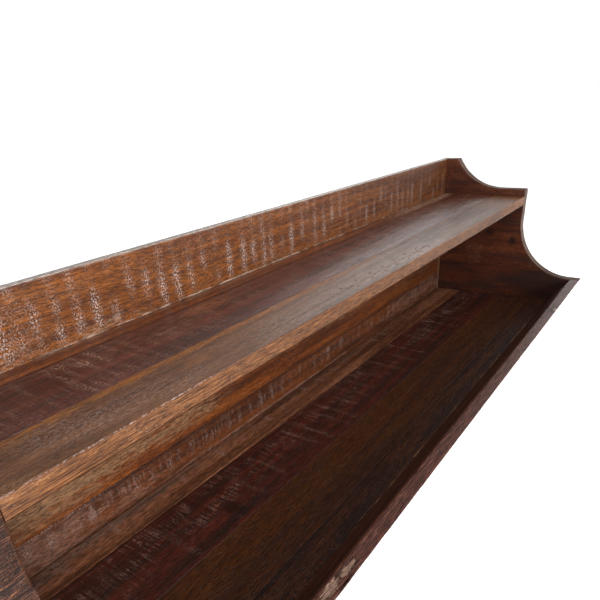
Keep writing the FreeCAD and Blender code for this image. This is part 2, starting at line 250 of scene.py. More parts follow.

    # The relief is in shares of a millimetre. Stained places, painted shade and old edges are duller
    height = add(tree, "ShaderNodeMath", {0: threads, 1: 0.13}, operation="MULTIPLY")
    for layer, depth in ((holes, -0.13), (patches, 0.3)):
        height = add(tree, "ShaderNodeMath", {0: layer, 1: depth, 2: height}, operation="MULTIPLY_ADD")
    scar = add(tree, "ShaderNodeMath", {0: marks["saw_and_highlights"], 1: crumbs}, operation="MULTIPLY")
    height = add(tree, "ShaderNodeMath", {0: scar, 1: 0.22, 2: height}, operation="MULTIPLY_ADD")
    lines = add(tree, "ShaderNodeMath", {0: marks["edge"], 1: cross}, operation="MULTIPLY")
    height = add(tree, "ShaderNodeMath", {0: lines, 1: 0.25, 2: height}, operation="MULTIPLY_ADD")
    bump = add(tree, "ShaderNodeBump", {"Height": height, "Strength": 1.0, "Distance": MM})
    rough = add(tree, "ShaderNodeMapRange", {0: tones, 3: roughness + 0.07, 4: roughness - 0.07})
    dulled = add(tree, "ShaderNodeMath", {0: marks["edge"], 1: edge_dull, 2: marks["stain_and_shade"]},
                 operation="MULTIPLY_ADD")
    shine = add(tree, "ShaderNodeMapRange", {0: dulled, 3: gloss, 4: 0.0})
    shader = add(tree, "ShaderNodeBsdfPrincipled",
                 {"Base Color": wood, "Roughness": rough, "Normal": bump, "IOR": 1.5,
                  "Specular IOR Level": 0.25, "Coat Weight": shine, "Coat Roughness": 0.27,
                  "Coat Normal": bump})
    add(tree, "ShaderNodeOutputMaterial", {"Surface": shader})
    return material


def plated_steel(name, colour, roughness):
    """Pressed steel with a thin plating: grey, evenly dull, with a little grime in its tone."""
    material, tree = new_material(name)
    place = add(tree, "ShaderNodeTexCoord", out="Object")
    grime = add(tree, "ShaderNodeTexNoise", {"Vector": place, "Scale": 260.0, "Detail": 3.0})
    tone = add(tree, "ShaderNodeValToRGB", {"Fac": grime},
               ramp=[(0.3, linear(colour)), (0.75, linear("d8d6d0"))])
    rough = add(tree, "ShaderNodeMapRange", {0: grime, 3: roughness, 4: roughness + 0.2})
    shader = add(tree, "ShaderNodeBsdfPrincipled", {"Base Color": tone, "Roughness": rough, "Metallic": 1.0})
    add(tree, "ShaderNodeOutputMaterial", {"Surface": shader})
    return material


def pale_floor():
    """Matt white studio sheet, lit from below as well, so that it stays white next to dark wood."""
    material, tree = new_material("matt_white_sheet")
    place = add(tree, "ShaderNodeTexCoord", out="Object")
    cloud = add(tree, "ShaderNodeTexNoise", {"Vector": place, "Scale": 0.8, "Detail": 2.0})
    tone = add(tree, "ShaderNodeValToRGB", {"Fac": cloud},
               ramp=[(0.3, linear("f1f1f1")), (0.7, linear("f5f5f5"))])
    shader = add(tree, "ShaderNodeBsdfPrincipled",
                 {"Base Color": tone, "Roughness": 0.9, "Emission Color": (1, 1, 1, 1),
                  "Emission Strength": 0.72})
    add(tree, "ShaderNodeOutputMaterial", {"Surface": shader})
    return material


# Shapes

def noise_at(place, size, seed):
    """Smooth noise between about -1 and 1 whose lumps have a size in millimetres."""
    return noise.noise(Vector((place.x / size + seed * 17.3, place.y / size, place.z / size)))


def eased(value):
    """0 to 1 with soft ends."""
    value = max(0.0, min(1.0, value))
    return value * value * (3 - 2 * value)


def saw_rows(rows, width, seed, low, high=1e4, fade=8.0, faint=0.0):
    """Rows that a saw left across a board, between two places across it; faint is what is left beyond them.

    Each row is a place along the board, with its own strength where it is given. It wavers by up to 2.6 mm
    and breaks up into strokes about 24 mm long.
    """
    rows = [row if isinstance(row, tuple) else (row, 1.0) for row in rows]

    def marked(along, across):
        inside = eased((across - low) / fade) * eased((high - across) / fade)
        inside = faint + (1 - faint) * inside
        best = 0.0
        for i, (row, strength) in enumerate(rows):
            if abs(along - row) > 3 * width + 4 or inside <= 0:
                continue
            shift = along - row + 2.6 * noise.noise(Vector((across / 17, row / 9, seed)))
            fill = 0.58 + 1.3 * noise.noise(Vector((across / 24, row / 7, seed + 5.5)))
            best = max(best, strength * max(0.0, min(1.0, fill)) * math.exp(-(shift / width) ** 2))
        return best * inside
    return marked


def ovals(*spots):
    """Soft ovals on a board: centre along and across, half length, half width, strength."""
    def covered(along, across):
        best = 0.0
        for centre, middle, half_length, half_width, strength in spots:
            reach = math.hypot((along - centre) / half_length, (across - middle) / half_width)
            best = max(best, strength * eased(1.5 - reach))
        return best
    return covered


def beyond(limit):
    """All that lies past a place across the open side of a board."""
    return lambda along, across: float(limit < across < 0.9 * HIDDEN)


def even_rows(start, stop, spacing, seed):
    """Places of rows at an uneven spacing, each with its own strength."""
    rows = []
    place = start
    while place < stop:
        rows.append((place, 0.35 + 0.65 * abs(noise.noise(Vector((place / 3.1, seed, 0.5)))) * 1.6))
        place += spacing * (1 + 0.35 * noise.noise(Vector((place / 5.3, seed, 9.5))))
    return rows


def most(*marks):
    """Several marks together: the strongest counts."""
    return lambda along, across: max(mark(along, across) for mark in marks)


def around(outer, inner):
    """What one mark covers and another inside it leaves bare."""
    return lambda along, across: outer(along, across) - inner(along, across)


def keep_marks(bm, face_axis, place_of, marks, nearness, depth, seed, in_seam=lambda vert: False):
    """Gives the points of a board their marks for the material, and sinks the worn and sawn places.

    The faces sink by up to 0.2 mm and by 0.3 mm more where the saw went, the rubbed arrises by an uneven
    share of the depth, with deeper chips here and there.
    """
    bm.normal_update()
    layers = {kind: bm.verts.layers.float.new(kind) for kind in MARK_KINDS}
    moves = []
    for vert in bm.verts:
        near = nearness(vert)
        vert[layers["wear"]] = max(0.0, min(1.0, near * (0.75 + 0.6 * noise_at(vert.co, 18, seed))))
        spot = place_of(vert)
        for kind, mark in marks.items():
            vert[layers[kind]] = max(0.0, min(1.0, mark(*spot)))
        if in_seam(vert):
            vert[layers["stain_and_shade"]] = 0.75
        facing = vert.normal.dot(face_axis)
        sink = 0.10 + 0.10 * noise_at(vert.co, 70, seed + 3) + 0.30 * vert[layers["saw_and_highlights"]]
        move = -face_axis * facing * abs(facing) * sink
        if near > 0:
            chips = max(0.0, noise_at(vert.co, 24, seed + 1)) ** 2 * 3.0
            ripple = 0.35 + 0.35 * noise_at(vert.co, 5, seed + 2)
            move -= vert.normal * near * depth * (ripple + chips)
        moves.append((vert, move))
    for vert, move in moves:
        vert.co += move


def finish_piece(name, bm, material, nodes):
    """Turns a mesh in millimetres into a piece that stands for its CAD nodes."""
    bmesh.ops.recalc_face_normals(bm, faces=bm.faces)
    bmesh.ops.scale(bm, vec=(MM, MM, MM), verts=bm.verts)
    mesh = bpy.data.meshes.new(name)
    bm.to_mesh(mesh)
    bm.free()
    for face in mesh.polygons:
        face.use_smooth = True
    mesh.set_sharp_from_angle(angle=SHARP)
    piece = bpy.data.objects.new(name, mesh)
    bpy.context.scene.collection.objects.link(piece)
    mesh.materials.append(material)
    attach(piece, "root")
    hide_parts(*nodes)


def cut_out(board, cutters):
    """Cuts the cutters' shapes, which don't touch each other, out of a board."""
    shapes = []
    for name, bm in (("board", board), ("cutters", cutters)):
        bmesh.ops.recalc_face_normals(bm, faces=bm.faces)
        mesh = bpy.data.meshes.new(name)
        bm.to_mesh(mesh)
        bm.free()
        shapes.append(bpy.data.objects.new(name, mesh))
        bpy.context.scene.collection.objects.link(shapes[-1])
    hole = shapes[0].modifiers.new("cut", "BOOLEAN")
    hole.operation = "DIFFERENCE"
    hole.solver = "EXACT"
    hole.object = shapes[1]
    bpy.context.view_layer.update()
    made = bpy.data.meshes.new_from_object(shapes[0].evaluated_get(bpy.context.evaluated_depsgraph_get()))
    cut = bmesh.new()
    cut.from_mesh(made)
    bpy.data.meshes.remove(made)
    for shape in shapes:
        bpy.data.meshes.remove(shape.data)
    return cut


def turned_hole(bm, profile, centre, axis, steps=24):
    """Adds a cutter turned round an axis, from its radius and distance along the axis at each step."""
    axis = Vector(axis)
    outward = axis.orthogonal().normalized()
    verts = [bm.verts.new(Vector(centre) + outward * radius + axis * along) for radius, along in profile]
    edges = [bm.edges.new(pair) for pair in zip(verts, verts[1:])]
    bmesh.ops.spin(bm, geom=verts + edges, cent=centre, axis=axis, angle=math.tau, steps=steps,
                   use_merge=True)
    bmesh.ops.remove_doubles(bm, verts=bm.verts, dist=0.001)


def block(bm, low, high):
    """Adds a cutter in the shape of a box."""
    made = bmesh.ops.create_cube(bm, size=1.0)["verts"]
    bmesh.ops.scale(bm, vec=Vector(high) - Vector(low), verts=made)
    bmesh.ops.translate(bm, vec=(Vector(low) + Vector(high)) / 2, verts=made)


def gouge(bm, centre, length, width, depth, uneven=0.35, ragged=1.7, subdivisions=2):
    """Adds a cutter for a chip or crack along the board: an uneven lens that goes some way into the face."""
    made = bmesh.ops.create_icosphere(bm, subdivisions=subdivisions, radius=1.0)["verts"]
    for vert in made:
        place = vert.co * ragged + Vector(centre)
        vert.co *= 1 + uneven * (noise.noise(place) + 0.3 * noise.noise(place * 3.7))
    bmesh.ops.scale(bm, vec=(length / 2, width / 2, depth), verts=made)
    bmesh.ops.translate(bm, vec=centre, verts=made)


def long_edges(bm, section_point):
    """The edges that run along the shelf from one point of the left end's section."""
    found = []
    for edge in bm.edges:
        a, b = sorted(edge.verts, key=lambda vert: vert.co.x)
        if b.co.x - a.co.x > LONG and (a.co.yz - Vector(section_point)).length < 0.05:
            found.append(edge)
    return found


def score(bm, axis, places):
    """Scores lines round a board at places along an axis, so that its mesh can bend there."""
    for place in places:
        bmesh.ops.bisect_plane(bm, geom=bm.verts[:] + bm.edges[:] + bm.faces[:], dist=0.01,
                               plane_co=[place if i == axis else 0 for i in range(3)],
                               plane_no=[1 if i == axis else 0 for i in range(3)])


def even_places(low, high, step):
    count = max(1, round((high - low) / step))
    return [low + (high - low) * i / count for i in range(1, count)]


def long_board(left, right, marks, seed, free=(), seams=(), free_width=1.4, face="z", scored=(), depth=0.9):
    """A board along the shelf, from its section at each end.

    Free lists the corners that stand open, seams those where dark varnish has gathered in a joint. Face is
    the way the broad side looks: z for a shelf, y for the back, lean for the front board. Marks are given by
    place along the board and across it, for its upper or front side. Scored are heights or depths where a
    thin mark needs lines of its own in the mesh. Depth is how deep rubbing goes at most, but for chips.
    """
    bm = bmesh.new()
    end = bm.faces.new([bm.verts.new((-INNER_X, y, z)) for y, z in left])
    made = bmesh.ops.extrude_face_region(bm, geom=[end])["geom"]
    for vert in (item for item in made if isinstance(item, bmesh.types.BMVert)):
        nearest = min(range(len(left)), key=lambda i: (vert.co.yz - Vector(left[i])).length)
        vert.co = Vector((INNER_X, *right[nearest]))
    bmesh.ops.recalc_face_normals(bm, faces=bm.faces)
    open_edges = [edge for i in free for edge in long_edges(bm, left[i])]
    if open_edges:
        bmesh.ops.bevel(bm, geom=open_edges, offset=free_width, offset_type="OFFSET", segments=3, profile=0.5,
                        affect="EDGES", material=-1)
    closed_edges = [edge for i in range(len(left)) if i not in free for edge in long_edges(bm, left[i])]
    bmesh.ops.bevel(bm, geom=closed_edges, offset=JOINT_ARRIS, offset_type="OFFSET", segments=1, profile=0.5,
                    affect="EDGES", material=-1)
    near_free = [(left[i][0] + shift, left[i][1] + shift) for i in free for shift in (-REACH, REACH)]
    score(bm, 1, [y for y, _ in near_free])
    score(bm, 2, [z for _, z in near_free])
    score(bm, 2 if face == "y" else 1, [place if face == "y" else at_depth(place) for place in scored])
    sides = left + right
    if face != "y":
        score(bm, 1, even_places(min(y for y, _ in sides), max(y for y, _ in sides), NET))
    if face != "z":
        score(bm, 2, even_places(min(z for _, z in sides), max(z for _, z in sides), NET))
    along = [edge for edge in bm.edges if abs(edge.verts[0].co.x - edge.verts[1].co.x) > LONG]
    bmesh.ops.subdivide_edges(bm, edges=along, cuts=int(LENGTH / NET) - 1, use_grid_fill=True)

    face_axis = {"z": Vector((0, 0, 1)), "y": Vector((0, -1, 0)),
                 "lean": Vector((0, math.cos(LEAN), math.sin(LEAN)))}[face]

    def to_corner(vert, i):
        """How far a point is from the line along one corner of the section."""
        line = Vector(left[i]).lerp(Vector(right[i]), (vert.co.x + INNER_X) / LENGTH)
        return (vert.co.yz - line).length

    def nearness(vert):
        return max([0.0] + [1 - to_corner(vert, i) / REACH for i in free])

    def place_of(vert):
        across = vert.co.z
        if face == "z" or (face == "lean" and vert.co.z > LIP_TOP - 0.6):
            across = BACK_FACE - vert.co.y
        if vert.normal.dot(face_axis) < -0.3:
            across += HIDDEN
        return vert.co.x + INNER_X, across

    def in_seam(vert):
        return any(to_corner(vert, i) < SEAM for i in seams)

    keep_marks(bm, face_axis, place_of, marks, nearness, depth, seed, in_seam)
    return bm


def box_section(node):
    """The section of a plain board, anticlockwise from its lower front corner, from its node's box."""
    low, high = node_box(node)
    return [(low.y, low.z), (high.y, low.z), (high.y, high.z), (low.y, high.z)]


def end_blank(side):
    """The whole outline of one end as a solid, before it is parted into its boards."""
    bm = bmesh.new()
    x = side * OUTER_X

    def corner(depth, z):
        return bm.verts.new((x, at_depth(depth), z))

    def arc(vert, depth, z, degrees, steps):
        swept = bmesh.ops.spin(bm, geom=[vert], cent=(x, at_depth(depth), z), axis=(1, 0, 0),
                               angle=math.radians(degrees), steps=steps)
        return [item for item in swept["geom_last"] if isinstance(item, bmesh.types.BMVert)][0]

    sweep = math.degrees(math.acos(1 - (HEIGHT - NOSE_TOP) / TOP_RADIUS))
    hollow_foot = TOP_FLAT + TOP_RADIUS * math.sin(math.radians(sweep))
    foot = corner(FRONT_DEPTH - LIP_TOP * LEAN_SLOPE, 0)
    lip = corner(FRONT_DEPTH, LIP_TOP)
    curve_foot = corner(UPPER_DEPTH + CURVE_RADIUS, LIP_TOP)
    curve_top = arc(curve_foot, UPPER_DEPTH + CURVE_RADIUS, LIP_TOP + CURVE_RADIUS, 90, 28)
    nose_foot = corner(UPPER_DEPTH, NOSE_TOP - NOSE_RADIUS)
    nose = arc(nose_foot, UPPER_DEPTH - NOSE_RADIUS, NOSE_TOP - NOSE_RADIUS, -90, 5)
    hollow = corner(hollow_foot, NOSE_TOP)
    crown = arc(hollow, hollow_foot, NOSE_TOP + TOP_RADIUS, sweep, 20)
    back_top = corner(BACK_FACE - WALL_Y, HEIGHT)
    back_foot = corner(BACK_FACE - WALL_Y, 0)
    for a, b in ((foot, lip), (lip, curve_foot), (curve_top, nose_foot), (nose, hollow), (crown, back_top),
                 (back_top, back_foot), (back_foot, foot)):
        bm.edges.new((a, b))
    bmesh.ops.contextual_create(bm, geom=bm.verts[:] + bm.edges[:])
    made = bmesh.ops.extrude_face_region(bm, geom=bm.faces[:])["geom"]
    moved = [item for item in made if isinstance(item, bmesh.types.BMVert)]
    bmesh.ops.translate(bm, vec=(side * (INNER_X - OUTER_X), 0, 0), verts=moved)
    bmesh.ops.recalc_face_normals(bm, faces=bm.faces)
    return bm


def end_board(side, low, high, marks, painted_edge_sheen, seed):
    """One board of an end, cut from the blank between two heights, with a sheen painted in the film colour on
    its edges where given.
    """
    bm = end_blank(side)
    cuts = []
    if low > 0:
        cuts.append((low, {"clear_inner": True}))
    if high < HEIGHT:
        cuts.append((high, {"clear_outer": True}))
    for level, clear in cuts:
        bmesh.ops.bisect_plane(bm, geom=bm.verts[:] + bm.edges[:] + bm.faces[:], dist=0.01,
                               plane_co=(0, 0, level), plane_no=(0, 0, 1), **clear)
        bmesh.ops.holes_fill(bm, edges=[edge for edge in bm.edges if edge.is_boundary])
    bmesh.ops.recalc_face_normals(bm, faces=bm.faces)
    levels = [level for level, _ in cuts]

    def on_joint(edge):
        return any(all(abs(vert.co.z - level) < 0.02 for vert in edge.verts) for level in levels)

    corners = [edge for edge in bm.edges if len(edge.link_faces) == 2 and edge.calc_face_angle() > CORNER]
    outline = [edge for edge in corners if not on_joint(edge)]
    bmesh.ops.bevel(bm, geom=outline, offset=END_ARRIS, offset_type="OFFSET", segments=2, profile=0.5,
                    affect="EDGES", material=-1, clamp_overlap=True)
    joints = [edge for edge in bm.edges if on_joint(edge) and len(edge.link_faces) == 2
              and edge.calc_face_angle() > CORNER]
    bmesh.ops.bevel(bm, geom=joints, offset=END_JOINT_ARRIS, offset_type="OFFSET", segments=1, profile=0.5,
                    affect="EDGES", material=-1, clamp_overlap=True)

    # The lines near both broad sides let the rubbing fade
    score(bm, 0, [side * x for x in (INNER_X + 3.5, INNER_X + 8, OUTER_X - 8, OUTER_X - 3.5)])
    score(bm, 1, even_places(at_depth(FRONT_DEPTH), WALL_Y, END_NET))
    score(bm, 2, even_places(low, high, END_NET))
    bm.normal_update()
    bm.verts.index_update()

    # A point on an arris has faces of both kinds round it: the broad sides and the outline
    open_verts, edge_verts = set(), set()
    for vert in bm.verts:
        at_joint = any(abs(vert.co.z - level) < 1.0 for level in levels)
        steep = [abs(face.normal.x) for face in vert.link_faces]
        if 0.15 < abs(vert.normal.x) < 0.98 and not at_joint:
            open_verts.add(vert.index)
        level_face = max(abs(face.normal.z) for face in vert.link_faces) > 0.99
        if min(steep) < 0.15 and not (at_joint and level_face):
            edge_verts.add(vert.index)

    def nearness(vert):
        if vert.index not in open_verts:
            return 0.0
        to_face = min(abs(abs(vert.co.x) - INNER_X), abs(abs(vert.co.x) - OUTER_X))
        return 1 - to_face / END_REACH

    def place_of(vert):
        outer = HIDDEN if abs(abs(vert.co.x) - OUTER_X) < 4 else 0
        return BACK_FACE - vert.co.y, vert.co.z + outer

    keep_marks(bm, Vector((side, 0, 0)), place_of, marks, nearness, 0.8, seed)
    edge_layer, film_layer = (bm.verts.layers.float[kind] for kind in ("edge", "film_and_sheen"))
    for vert in bm.verts:
        if vert.index in edge_verts:
            vert[edge_layer] = 1.0
            vert[film_layer] = painted_edge_sheen
    return bm


# The finishes of the boards. The back's go from a warm orange under rows of whitish crumbs, partly painted
# glints, down to a dull red brown. The upper shelf's are glossy: brown, dark red and a greyer brown with a
# rough front edge.

# On the upper back's top the pale grey edge tones are a painted reflection, and the grey-white rubbed colour
# on its top arrises is partly wear and partly painted sheen
back_orange = varnished_wood("varnished_teak_upper_back", "562a0b", "67360b", "723e0f", seed=1.0,
                             streaks=0.15, figure=(200, 7), fibre=0.35, flecks=0.4, fleck_colour="9c8476",
                             fleck_size=(2.2, 0.9), saw_and_highlights="b3a39d", saw_size=(1.8, 2.4), film_and_sheen="9c8676",
                             worn_and_sheen="a8998e", pores=0.5, gloss=0.22,
                             edge_tones=("7a6c66", "94877f", "aca098", "c8beb8"))
back_brown = varnished_wood("varnished_teak_back", "52270d", "763a12", "88491a", seed=2.3, streaks=0.25,
                            fibre=0.35, flecks=0.2, fleck_colour="9a8070", film_and_sheen="8a6446", gloss=0.3)
back_red = varnished_wood("varnished_teak_lower_back", "41200f", "5a2c10", "6e3917", seed=3.3, streaks=0.25,
                          fibre=0.4, flecks=0.25, fleck_colour="8a7062", saw_and_highlights="9c847a", saw_size=(1.8, 2.4),
                          film_and_sheen="7e5846", gloss=0.25)
strip_brown = varnished_wood("varnished_teak_shelf_strip", "4c230c", "683214", "793f1a", seed=3.1,
                             streaks=0.25, fibre=0.35, flecks=0.1, film_and_sheen="96745e", coarse=1.4, gloss=0.65)
shelf_red = varnished_wood("varnished_sheesham_red", "32110b", "481811", "562218", seed=4.2, streaks=0.25,
                           flecks=0.3, fleck_colour="7c5a4c", saw_and_highlights="b08a72", saw_size=(2.6, 1.5),
                           film_and_sheen="6c3c24", fibre=0.35, coarse=1.5, gloss=1.0)
shelf_grey = varnished_wood("varnished_sheesham_grey_brown", "4d2e19", "5e3921", "6d4528", seed=5.4,
                            streaks=0.12, flecks=0.6, fleck_colour="8e7058", film_and_sheen="8e5420", fibre=0.2,
                            pores=0.4, coarse=1.2, worn_and_sheen="7e4a24", gloss=0.62, edge_lines=(18, 0.9),
                            edge_dull=0.85, edge_tones=("40220e", "5c3519", "6e4524", "80532e"))

# The tray's are darker and duller towards the front
tray_rear = varnished_wood("varnished_teak_tray_rear", "58321e", "7c4c30", "946044", seed=6.6, streaks=0.3,
                           fibre=0.35, flecks=0.35, film_and_sheen="7a6052", coarse=1.4, gloss=0.35)
tray_red = varnished_wood("varnished_sheesham_tray_red", "260e09", "38130b", "461a10", seed=7.1, streaks=0.2,
                          flecks=0.15, fleck_colour="6c4e42", saw_and_highlights="7e5e54", saw_size=(2.4, 1.5),
                          film_and_sheen="7c3d1c", fibre=0.35, coarse=1.4, gloss=0.35)
tray_brown = varnished_wood("varnished_teak_tray_brown", "321709", "3c1d0a", "43220b", seed=8.2, streaks=0.2,
                            fibre=0.3, flecks=0.1, film_and_sheen="5e3820", coarse=1.6, gloss=0.2)
tray_front = varnished_wood("varnished_sheesham_tray_front", "20100a", "30170e", "3e2110", seed=9.3,
                            streaks=0.2, fibre=0.35, flecks=0.3, fleck_colour="8a4c2c", saw_and_highlights="66503f",
                            film_and_sheen="7e6044", coarse=1.6, gloss=0.12)
lip_wood = varnished_wood("varnished_sheesham_front_board", "331911", "4c261a", "623629", seed=10.4,
                          streaks=0.3, fibre=0.3, flecks=0.1, film_and_sheen="866a5a", coarse=1.3, worn_and_sheen="6e4432",
                          edge_lines=(26, 1.1), edge_tones=("3a1f18", "4b2a21", "5d352a", "6e463a"))

# The ends' grain runs level, front to back, and their sawn outline is nearly black and dull
end_finish = {"grain": "Y", "figure": (130, 22), "streaks": 0.22, "fibre": 0.3, "flecks": 0.1,
              "saw_and_highlights": "806050", "film_and_sheen": "5e4232", "gloss": 0.3, "worn_and_sheen": "5c361a", "edge_lines": (14, 0.8),
              "edge_dull": 0.9, "edge_tones": ("170804", "281108", "381b0d", "6a422c")}
end_wood = varnished_wood("varnished_sheesham_end", "35150a", "481f0c", "562912", seed=11.5, **end_finish)
end_wood_low = varnished_wood("varnished_sheesham_end_low", "2c110a", "3c1a0b", "49200e", seed=12.7,
                              **end_finish)

# Fixings: bright plated screws and plates, grey nails, and pale dowels that aren't varnished
zinc = plated_steel("zinc_plated_steel", "8e9092", 0.34)
dull_nail = plated_steel("dull_nail_steel", "4a4744", 0.5)
beech = varnished_wood("plain_beech", "b08a5c", "caa678", "dcc096", seed=20.0, streaks=0.2, pores=0.1,
                       gloss=0.0, roughness=0.6)

# Marks on the boards: places along are from the left end's inner face. Across is the height for the back and
# the front board's face, and the depth for the shelves and the front board's top. On the ends, along is the
# depth and across the height.

# The slant of the joint between the tray's red and brown boards
RED_JOINT_LEFT = TRAY_JOINTS_LEFT[2]
RED_JOINT_SKEW = TRAY_JOINTS_RIGHT[2] - RED_JOINT_LEFT


def sawn_wall_side(spacing, seed):
    """The saw's rows on the side of a back board that the wall hides, set out anew on each board."""
    rows = [(place, 0.6 * strength) for place, strength in even_rows(spacing, LENGTH, spacing, seed)]
    return saw_rows(rows, 3.0, seed + 1, low=HIDDEN)


upper_rows = (62, 84, 98, 112, (128, 0.9), 145, 168, (190, 1.0), 212, 235, (258, 0.7), (280, 0.7), 303, 325,
              (348, 0.8), (372, 0.9), 395, 418, 447, 468, 490, 508, 534, 557, 585, 600, 620, 645, 670, 695)
upper_saw = saw_rows(upper_rows + tuple(even_rows(718, LENGTH, 24, 3)), 4.4, 2, low=240, high=290, fade=14,
                     faint=0.35)
back_top_marks = {
    "saw_and_highlights": most(upper_saw, sawn_wall_side(23, 40), ovals((50, 262, 80, 40, 0.32))),
    "film_and_sheen": ovals((225, 244, 40, 7, 0.25), (60, 250, 60, 12, 0.2), (420, 238.5, 400, 1.4, 0.55),
                  (880, 238.5, 200, 1.2, 0.3)),
    "stain_and_shade": ovals((560, 243, 400, 0.8, 0.4), (1060, 270, 240, 60, 0.22)),
    # the top, whose pale grey tones are a painted reflection
    "edge": beyond(HEIGHT - 0.6),
}
back_middle_marks = {
    "saw_and_highlights": sawn_wall_side(31, 44),
    "film_and_sheen": ovals((120, 92, 150, 16, 0.8), (90, 72, 110, 7, 0.55), (290, 84, 90, 14, 0.6),
                  (700, 100, 160, 12, 0.4), (1000, 92, 120, 14, 0.3), (1153, 110, 9, 70, 0.8)),
    "stain_and_shade": ovals((520, 63, 350, 1.6, 0.35), (1080, 80, 260, 40, 0.25)),
}
low_rows = (66, 92, 118, 143, 170, (207, 1.0), 232, 262, 305, (331, 1.0), (354, 0.9), 366, (378, 0.9),
            (401, 0.9), (428, 1.0), 452, 480, 508)
back_bottom_marks = {
    "saw_and_highlights": most(saw_rows(low_rows + tuple(even_rows(532, LENGTH, 24, 5)), 3.6, 6, low=24, high=62, fade=14),
                sawn_wall_side(21, 48), ovals((70, 59.4, 110, 1.3, 0.9), (470, 19.2, 210, 1.0, 0.9))),
    "rows": ovals((360, 42, 260, 13, 0.45), (800, 42, 300, 13, 0.45)),
    "film_and_sheen": ovals((70, 38, 110, 24, 0.65), (210, 28, 60, 10, 0.45), (500, 20, 300, 3.5, 0.5),
                  (1060, 40, 200, 30, 0.45), (1153, 40, 9, 40, 0.8)),
    "stain_and_shade": ovals((280, 50, 5, 3.4, 0.95), (300, 54, 16, 0.9, 0.8), (560, 60, 260, 1.4, 0.5)),
}
shelf_rear_marks = {
    "saw_and_highlights": saw_rows(even_rows(40, LENGTH, 31, 7), 4.0, 8, low=HIDDEN),
    # The film near the right end is a painted sheen
    "film_and_sheen": ovals((260, 4, 300, 3, 0.3), (1060, 12, 210, 15, 0.6)),
    "stain_and_shade": ovals((620, 24, 500, 1.2, 0.4)),
}
red_rows = ((64, 0.3), (91, 0.4), (122, 1.0), (134, 0.7), (144, 0.4), (153, 0.9), (169, 1.0), (187, 0.4),
            (203, 0.7), (222, 0.4), (250, 0.3), (281, 0.6), (312, 0.3), (351, 0.4), (402, 0.5), (449, 0.4))
shelf_middle_marks = {
    "saw_and_highlights": most(saw_rows(red_rows, 2.4, 10, faint=0.75, low=28, high=108),
                saw_rows(even_rows(470, LENGTH, 31, 9), 2.4, 11, faint=0.3, low=28, high=90),
                ovals((123, 72, 3.5, 7, 0.9), (135, 36, 6, 6, 0.8), (152, 50, 7, 9, 0.9),
                      (237, 60, 4, 5, 0.7))),
    # The second oval of pale rows and the film near the right end are a painted sheen
    "rows": ovals((300, 70, 500, 40, 0.2), (860, 70, 320, 40, 0.5)),
    "film_and_sheen": ovals((320, 45, 40, 12, 0.7), (260, 50, 120, 16, 0.3), (600, 26, 240, 2.4, 0.5),
                  (1060, 75, 170, 60, 0.55)),
    "stain_and_shade": ovals((90, 60, 50, 30, 0.35)),
}
shelf_front_marks = {
    # The last pale line of crumbs, along the top front arris, is a painted highlight
    "saw_and_highlights": ovals((110, 150, 60, 16, 0.2), (70, 140, 30, 20, 0.2), (170, 160, 40, 10, 0.15),
                 (100, 174.8, 120, 0.6, 1.0)),
    # The film near the right end is a painted sheen
    "film_and_sheen": ovals((320, 116, 350, 6.5, 0.7), (900, 116, 260, 3.5, 0.5), (210, 140, 20, 6, 0.4),
                  (1130, 150, 150, 70, 0.6), (820, 174.8, 400, 0.6, 0.85)),
    "edge": beyond(UPPER_DEPTH - 0.1),
    # The wide stain near the right end is painted shade where that sheen fades
    "stain_and_shade": most(ovals((60, 168, 40, 8, 0.3), (400, 157.5, 110, 0.8, 0.6), (560, 157, 80, 0.8, 0.5),
                        (1060, 150, 150, 60, 0.3)),
                  saw_rows([(place, 0.55) for place, _ in even_rows(600, 900, 15, 23)], 2.2, 24, low=112,
                           high=146, fade=10)),
}
tray_rear_marks = {
    "saw_and_highlights": saw_rows(even_rows(50, LENGTH, 37, 11), 3.5, 12, low=2, high=30, fade=6),
    "film_and_sheen": ovals((160, 8, 150, 7, 0.7), (360, 5, 80, 4, 0.5), (700, 12, 200, 6, 0.4), (60, 16, 40, 4, 0.8)),
    "stain_and_shade": ovals((240, 9, 60, 1.5, 0.6), (800, 26, 120, 2, 0.4), (330, 40, 300, 1.0, 0.4)),
}
tray_strong = ((100, 0.6), (180, 0.4), (250, 0.5), (300, 0.4), (345, 0.5), (400, 0.7), (425, 0.7), (450, 0.6),
               (493, 0.7), (515, 0.8), (548, 0.7), (580, 0.5), (610, 0.7), (650, 0.5), (695, 0.8), (740, 0.5),
               (780, 0.7), (842, 0.8), (885, 0.5), (930, 0.7), (970, 0.5), (1010, 0.7))
tray_red_marks = {
    "saw_and_highlights": saw_rows(tray_strong, 3.4, 15, low=38, high=140, fade=22, faint=0.4),
    "rows": lambda along, across: ((0.6 + 0.2 * eased((along - 800) / 150)) * eased((across - 40) / 8)
                                   * eased((118 - across) / 34)),
    "film_and_sheen": ovals((250, 90, 4, 3, 0.9), (500, 48, 340, 3.0, 0.35)),
    "stain_and_shade": ovals((256, 112, 10, 18, 0.8), (330, 50, 30, 8, 0.3), (420, 49, 200, 1.2, 0.5)),
}
tray_brown_marks = {
    "film_and_sheen": lambda along, across: 0.9 * float(across < RED_JOINT_LEFT + 1 + RED_JOINT_SKEW * along / LENGTH),
    "stain_and_shade": ovals((330, 196, 9, 3, 0.7), (560, 210, 300, 2.0, 0.4)),
}
tray_front_marks = {
    "rows": ovals((578, 234, 600, 12, 0.2)),
    "stain_and_shade": ovals((500, 216.5, 600, 1.2, 0.5)),
    "film_and_sheen": ovals((500, 250, 300, 1.2, 0.55), (900, 250, 300, 1.2, 0.6)),
}
